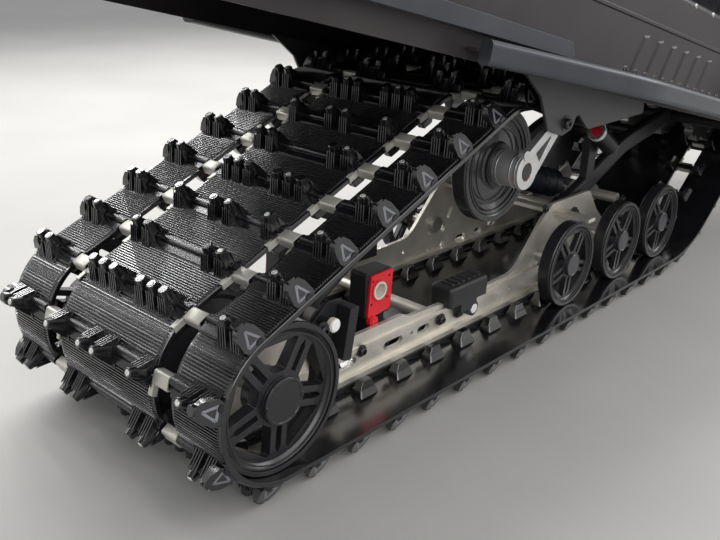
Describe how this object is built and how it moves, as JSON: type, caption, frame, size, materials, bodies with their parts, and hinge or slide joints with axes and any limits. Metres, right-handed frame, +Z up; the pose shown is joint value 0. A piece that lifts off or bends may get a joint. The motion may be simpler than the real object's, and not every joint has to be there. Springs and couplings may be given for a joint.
{
  "type": "snowmobile",
  "caption": "Wide-track utility snowmobile on a lugged rubber track with a railed skid, under a long sloping tunnel, with a seat, handlebar, screen and two steered skis.",
  "frame": {"origin": "on the floor, under the middle of the overall length and width", "axes": "+X forward, +Y to the machine's left, +Z up"},
  "size_m": [3.19, 1.125, 1.225],
  "materials": {
    "track_rubber": "moulded, satin",
    "rail_alloy": "satin",
    "slide_plastic": "matte",
    "zinc": "plated",
    "wheel_plastic": "satin",
    "wheel_gloss": "gloss",
    "cast_alloy": "cast",
    "frame_black": "powder coat",
    "damper_alloy": "polished",
    "spring_steel": "drawn",
    "pale_plastic": "moulded",
    "red_block": "moulded",
    "black_plastic": "grained",
    "tunnel_alloy": "satin anthracite",
    "bracket_grey": "satin",
    "edge_alloy": "satin",
    "flap_rubber": "moulded",
    "lamp_red": "clear moulded",
    "seat_vinyl": "grained vinyl",
    "body_plastic": "gloss",
    "lamp_clear": "clear",
    "screen": "smoked",
    "ski_plastic": "satin",
    "grip_rubber": "moulded"
  },
  "bodies": {
    "chassis": {"track": "track_rubber", "rails": "rail_alloy", "slide_shoes": "slide_plastic", "rear_axle": "zinc", "rear_wheels": "wheel_plastic", "bogie_wheels": "wheel_plastic", "bogie_axles": "zinc", "upper_wheels": "wheel_gloss", "upper_axle": "zinc", "upper_arms": "cast_alloy", "rear_arm": "frame_black", "front_arm": "frame_black", "dampers": "damper_alloy", "springs": "spring_steel", "coupling_blocks": "frame_black", "coupling_plates": "red_block", "rail_stops": "black_plastic", "rail_ties": "rail_alloy", "drive_axle": "zinc", "tunnel": "tunnel_alloy", "tunnel_brackets": "bracket_grey", "running_boards": "tunnel_alloy", "board_edges": "edge_alloy", "rear_bumper": "frame_black", "snow_flap": "flap_rubber", "tail_lamp": "lamp_red", "seat": "seat_vinyl", "console": "body_plastic", "seat_base": "black_plastic", "bushings": "pale_plastic", "front_frame": "cast_alloy", "hood": "body_plastic", "side_panels": "body_plastic", "belly_pan": "black_plastic", "engine": "cast_alloy", "front_bumper": "frame_black", "headlamps": "lamp_clear", "windshield": "screen", "dash": "black_plastic", "front_arms": "frame_black"},
    "steering": {"steering_post": "frame_black", "handlebar": "frame_black", "grips": "grip_rubber", "controls": "black_plastic"},
    "front_leg_left": {"leg_left": "cast_alloy"},
    "runner_left": {"ski_left": "ski_plastic", "ski_loop_left": "frame_black"},
    "track_rod_left": {"tie_rod_left": "zinc"},
    "front_leg_right": {"leg_right": "cast_alloy"},
    "runner_right": {"ski_right": "ski_plastic", "ski_loop_right": "frame_black"},
    "track_rod_right": {"tie_rod_right": "zinc"}
  },
  "joints": [
    {"name": "handlebar_turn", "type": "hinge", "parent": "chassis", "child": "steering", "pos_m": [0.295, 0, 1.04], "axis": [-0.454, 0, 0.891], "range_deg": [-32, 32]},
    {"name": "leg_turn_left", "type": "hinge", "parent": "chassis", "child": "front_leg_left", "pos_m": [0.955, 0.48, 0.118], "axis": [-0.2588, 0, 0.9659], "range_deg": [-32, 32]},
    {"name": "ski_pitch_left", "type": "hinge", "parent": "front_leg_left", "child": "runner_left", "pos_m": [0.955, 0.48, 0.118], "axis": [0, 1, 0], "range_deg": [-12, 12]},
    {"name": "rod_shift_left", "type": "slide", "parent": "chassis", "child": "track_rod_left", "axis": [0, 1, 0], "range_m": [-0.055, 0.055]},
    {"name": "leg_turn_right", "type": "hinge", "parent": "chassis", "child": "front_leg_right", "pos_m": [0.955, -0.48, 0.118], "axis": [-0.2588, 0, 0.9659], "range_deg": [-32, 32]},
    {"name": "ski_pitch_right", "type": "hinge", "parent": "front_leg_right", "child": "runner_right", "pos_m": [0.955, -0.48, 0.118], "axis": [0, 1, 0], "range_deg": [-12, 12]},
    {"name": "rod_shift_right", "type": "slide", "parent": "chassis", "child": "track_rod_right", "axis": [0, 1, 0], "range_m": [-0.055, 0.055]}
  ],
  "couplings": [
    {"joint": "leg_turn_left", "follows": "handlebar_turn", "ratio": 1},
    {"joint": "rod_shift_left", "follows": "handlebar_turn", "m_per_rad": -0.09},
    {"joint": "leg_turn_right", "follows": "handlebar_turn", "ratio": 1},
    {"joint": "rod_shift_right", "follows": "handlebar_turn", "m_per_rad": -0.09}
  ]
}
